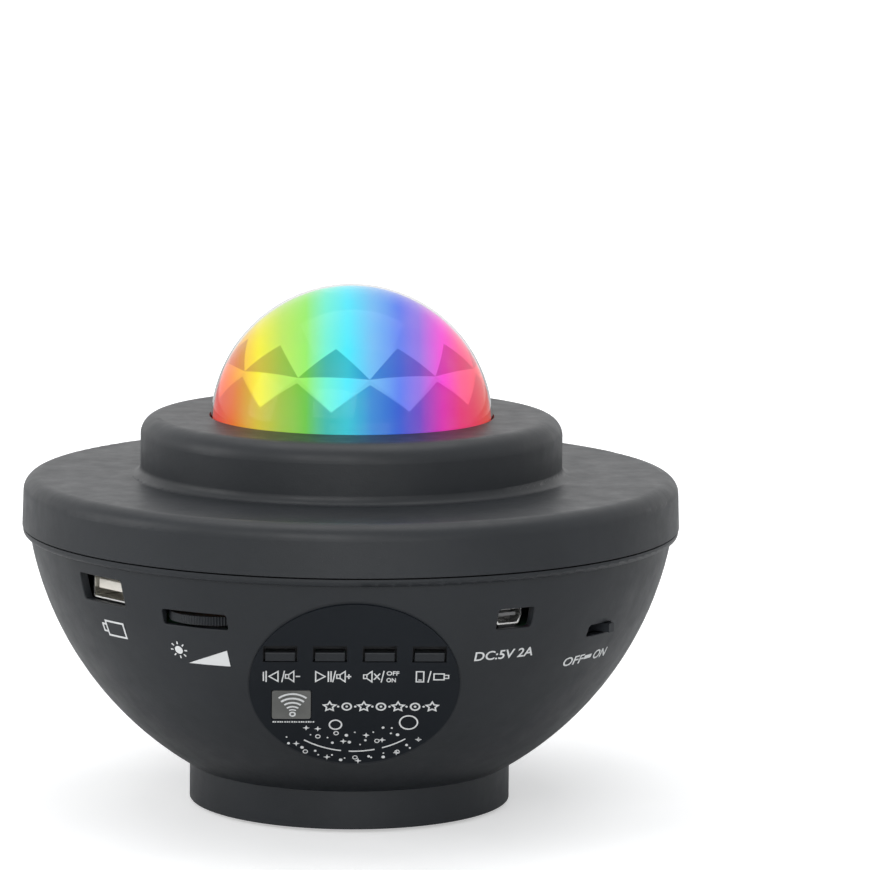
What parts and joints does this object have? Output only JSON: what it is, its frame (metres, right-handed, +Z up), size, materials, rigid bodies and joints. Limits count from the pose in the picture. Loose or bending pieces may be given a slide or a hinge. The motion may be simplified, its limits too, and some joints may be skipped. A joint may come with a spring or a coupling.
{
  "type": "star night light projector",
  "caption": "Round tabletop star projector: a dark saucer housing on a foot, a clear faceted dome on top, keys, dial, slide switch and sockets round its front.",
  "frame": {"origin": "centre of the circle that the rubber feet stand on, on the surface under the lamp", "axes": "+Z up through the dome, -Y out of the control panel at the front, +X to the panel's right"},
  "size_m": [0.1692, 0.1692, 0.1343],
  "materials": {
    "black_abs": "fine satin texture",
    "panel_print": "satin film with white print",
    "smoked_window": "smoked, printed",
    "clear_dome": "clear, faceted inside, polished outside",
    "clear_lens": "polished",
    "inner_plastic": "moulded, plain",
    "gear_plastic": "clear, rippled",
    "nylon": "plain",
    "rubber": "matt",
    "screw_steel": "zinc plated",
    "sheet_steel": "nickel plated",
    "contact": "gold flashed contacts in an insulator",
    "aluminium": "extruded, plain",
    "board": "solder mask",
    "chip": "moulded epoxy",
    "led": "emitter under a clear bead",
    "brass": "turned",
    "cone": "pressed paper",
    "magnet": "ferrite with a plated yoke",
    "motor_can": "drawn can"
  },
  "bodies": {
    "housing": {"bowl_housing": "black_abs", "top_cover": "black_abs", "dome_collar": "black_abs", "base_plate": "black_abs", "rubber_feet": "rubber", "dome_lens": "clear_dome", "dome_ring": "inner_plastic", "drive_motor": "motor_can", "motor_clamp": "inner_plastic", "disc_spindle": "nylon", "thrust_washer": "nylon", "light_deck": "inner_plastic", "heat_sink": "aluminium", "led_board": "board", "leds": "led", "lens_holder": "inner_plastic", "condenser_lenses": "clear_lens", "laser_module": "brass", "laser_lens": "clear_lens", "main_board": "board", "board_chips": "chip", "dial_resistor": "chip", "key_switches": "chip", "power_switch": "sheet_steel", "panel_overlay": "panel_print", "remote_window": "smoked_window", "receiver_board": "board", "receiver_eye": "chip", "speaker_frame": "sheet_steel", "speaker_cone": "cone", "speaker_magnet": "magnet", "media_socket_shell": "sheet_steel", "media_socket_contacts": "contact", "media_socket_stand": "chip", "power_socket_shell": "sheet_steel", "power_socket_contacts": "contact", "power_socket_stand": "chip", "cover_screws": "screw_steel", "plate_screws": "screw_steel", "deck_screws": "screw_steel", "dome_ring_screws": "screw_steel", "board_screws": "screw_steel"},
    "wave_disc": {"wave_disc": "gear_plastic", "grating_disc": "clear_lens"},
    "pinion": {"drive_pinion": "nylon"},
    "dial": {"brightness_dial": "black_abs"},
    "knob": {"switch_knob": "black_abs"},
    "key_previous_body": {"key_previous": "black_abs"},
    "key_play_body": {"key_play": "black_abs"},
    "key_mute_body": {"key_mute": "black_abs"},
    "key_mode_body": {"key_mode": "black_abs"}
  },
  "joints": [
    {"name": "key_previous_press", "type": "slide", "parent": "housing", "child": "key_previous_body", "axis": [0, 1, 0], "range_m": [0, 0.0005], "stiffness_N_per_m": 900, "springref_m": -0.0006},
    {"name": "key_play_press", "type": "slide", "parent": "housing", "child": "key_play_body", "axis": [0, 1, 0], "range_m": [0, 0.0005], "stiffness_N_per_m": 900, "springref_m": -0.0006},
    {"name": "key_mute_press", "type": "slide", "parent": "housing", "child": "key_mute_body", "axis": [0, 1, 0], "range_m": [0, 0.0005], "stiffness_N_per_m": 900, "springref_m": -0.0006},
    {"name": "key_mode_press", "type": "slide", "parent": "housing", "child": "key_mode_body", "axis": [0, 1, 0], "range_m": [0, 0.0005], "stiffness_N_per_m": 900, "springref_m": -0.0006},
    {"name": "dial_turn", "type": "hinge", "parent": "housing", "child": "dial", "pos_m": [-0.03402, -0.06037, 0.05968], "axis": [0, 0, 1], "range_deg": [-140, 140]},
    {"name": "switch_slide", "type": "slide", "parent": "housing", "child": "knob", "axis": [0.6203, 0.7843, 0], "range_m": [-0.006, 0]},
    {"name": "wave_spin", "type": "hinge", "parent": "housing", "child": "wave_disc", "pos_m": [0, 0, 0.09], "axis": [0, 0, 1], "continuous": true},
    {"name": "pinion_spin", "type": "hinge", "parent": "housing", "child": "pinion", "pos_m": [0, 0.042, 0.09], "axis": [0, 0, 1], "continuous": true}
  ],
  "couplings": [
    {"joint": "pinion_spin", "follows": "wave_spin", "ratio": -6}
  ]
}
